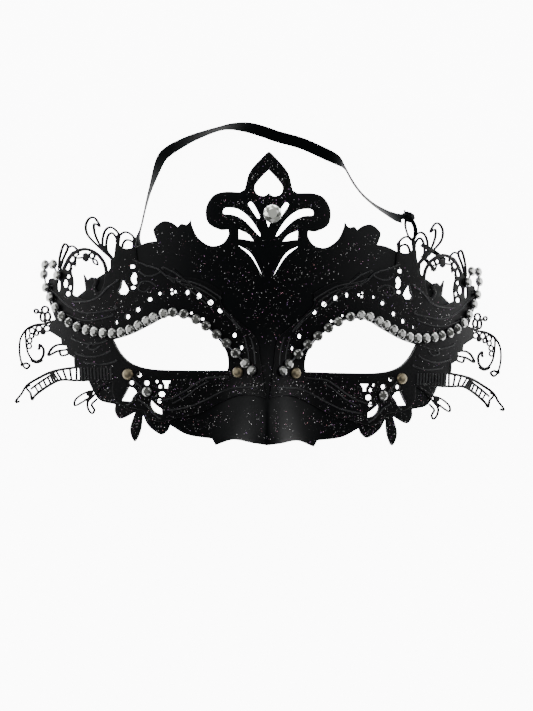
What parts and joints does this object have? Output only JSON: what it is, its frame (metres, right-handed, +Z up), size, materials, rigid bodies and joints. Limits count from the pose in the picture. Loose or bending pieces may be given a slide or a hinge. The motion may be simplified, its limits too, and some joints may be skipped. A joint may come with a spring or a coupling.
{
  "type": "filigree masquerade mask",
  "caption": "Black moulded half mask with pierced metal filigree over the eyes, rhinestone chains, a crown stone, brass brads and a satin tie ribbon.",
  "frame": {"origin": "centre of the mask's box, on the surface that it lies on, ribbon left out", "axes": "+X to the viewer's right across the mask, +Y from the nose tabs to the crown, +Z up out of the mask's front; the mask lies face up"},
  "size_m": [0.2212, 0.1461, 0.058],
  "materials": {
    "base_plastic": "satin black with silver glitter",
    "lace_metal": "semi-gloss black enamel",
    "clear_stone": "clear faceted, foiled back",
    "brass": "dull polished brass",
    "satin_ribbon": "black satin weave"
  },
  "bodies": {
    "root": {"base_shell": "base_plastic", "filigree_left": "lace_metal", "filigree_right": "lace_metal", "stone_chain_left": "clear_stone", "stone_chain_right": "clear_stone", "flower_stone_left": "clear_stone", "flower_stone_right": "clear_stone", "crown_stone": "clear_stone", "nose_brad_left": "brass", "nose_brad_right": "brass", "cheek_brad_left": "brass", "cheek_brad_right": "brass", "ribbon": "satin_ribbon", "ribbon_knot": "satin_ribbon"}
  },
  "joints": []
}
